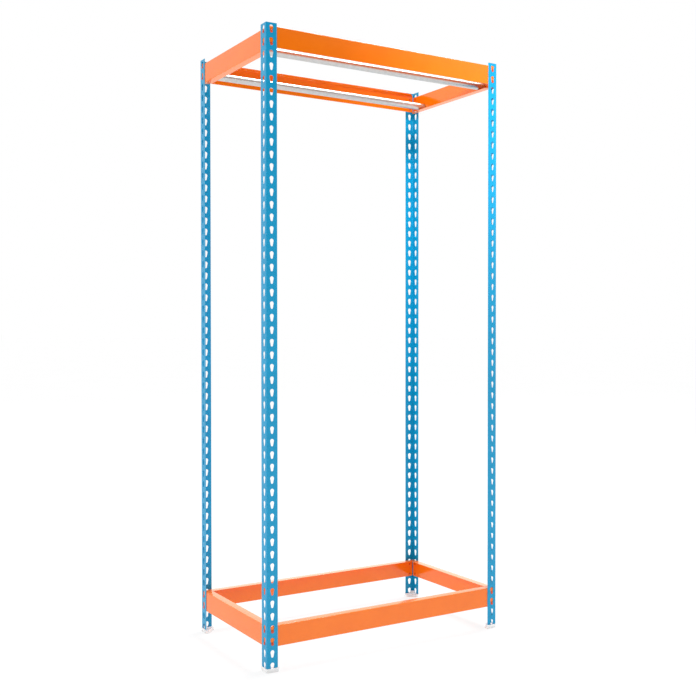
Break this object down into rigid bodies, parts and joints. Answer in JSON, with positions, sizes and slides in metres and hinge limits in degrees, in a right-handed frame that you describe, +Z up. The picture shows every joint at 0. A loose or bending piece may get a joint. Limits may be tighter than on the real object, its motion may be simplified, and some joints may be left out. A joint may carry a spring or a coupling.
{
  "type": "clothes rack",
  "caption": "Free-standing clothes rack of slotted-angle posts with keyholes, riveted L-section beams in an upper and a lower frame, loose hanging tubes on the side lips, and plastic feet.",
  "frame": {"origin": "on the floor, under the middle of the rack", "axes": "+Z up, +X to the right seen from the front, front at -Y"},
  "size_m": [0.915, 0.515, 2],
  "materials": {
    "post_paint": "blue powder coat, semi-gloss",
    "beam_paint": "orange powder coat, semi-gloss",
    "zinc": "galvanised tube, bright and slightly clouded",
    "foot_plastic": "milky white moulded plastic"
  },
  "bodies": {
    "frame": {"post_front_left": "post_paint", "post_front_right": "post_paint", "post_back_left": "post_paint", "post_back_right": "post_paint", "foot_front_left": "foot_plastic", "foot_front_right": "foot_plastic", "foot_back_left": "foot_plastic", "foot_back_right": "foot_plastic", "upper_beam_front": "beam_paint", "upper_beam_back": "beam_paint", "upper_beam_left": "beam_paint", "upper_beam_right": "beam_paint", "lower_beam_front": "beam_paint", "lower_beam_back": "beam_paint", "lower_beam_left": "beam_paint", "lower_beam_right": "beam_paint", "upper_rivets_front": "beam_paint", "upper_rivets_back": "beam_paint", "upper_rivets_left": "beam_paint", "upper_rivets_right": "beam_paint", "lower_rivets_front": "beam_paint", "lower_rivets_back": "beam_paint", "lower_rivets_left": "beam_paint", "lower_rivets_right": "beam_paint"},
    "front_rail": {"front_rail": "zinc"},
    "back_rail": {"back_rail": "zinc"}
  },
  "joints": [
    {"name": "front_rail_slide", "type": "slide", "parent": "frame", "child": "front_rail", "axis": [0, 1, 0], "range_m": [-0.05, 0.17]},
    {"name": "back_rail_slide", "type": "slide", "parent": "frame", "child": "back_rail", "axis": [0, 1, 0], "range_m": [-0.165, 0.055]}
  ]
}
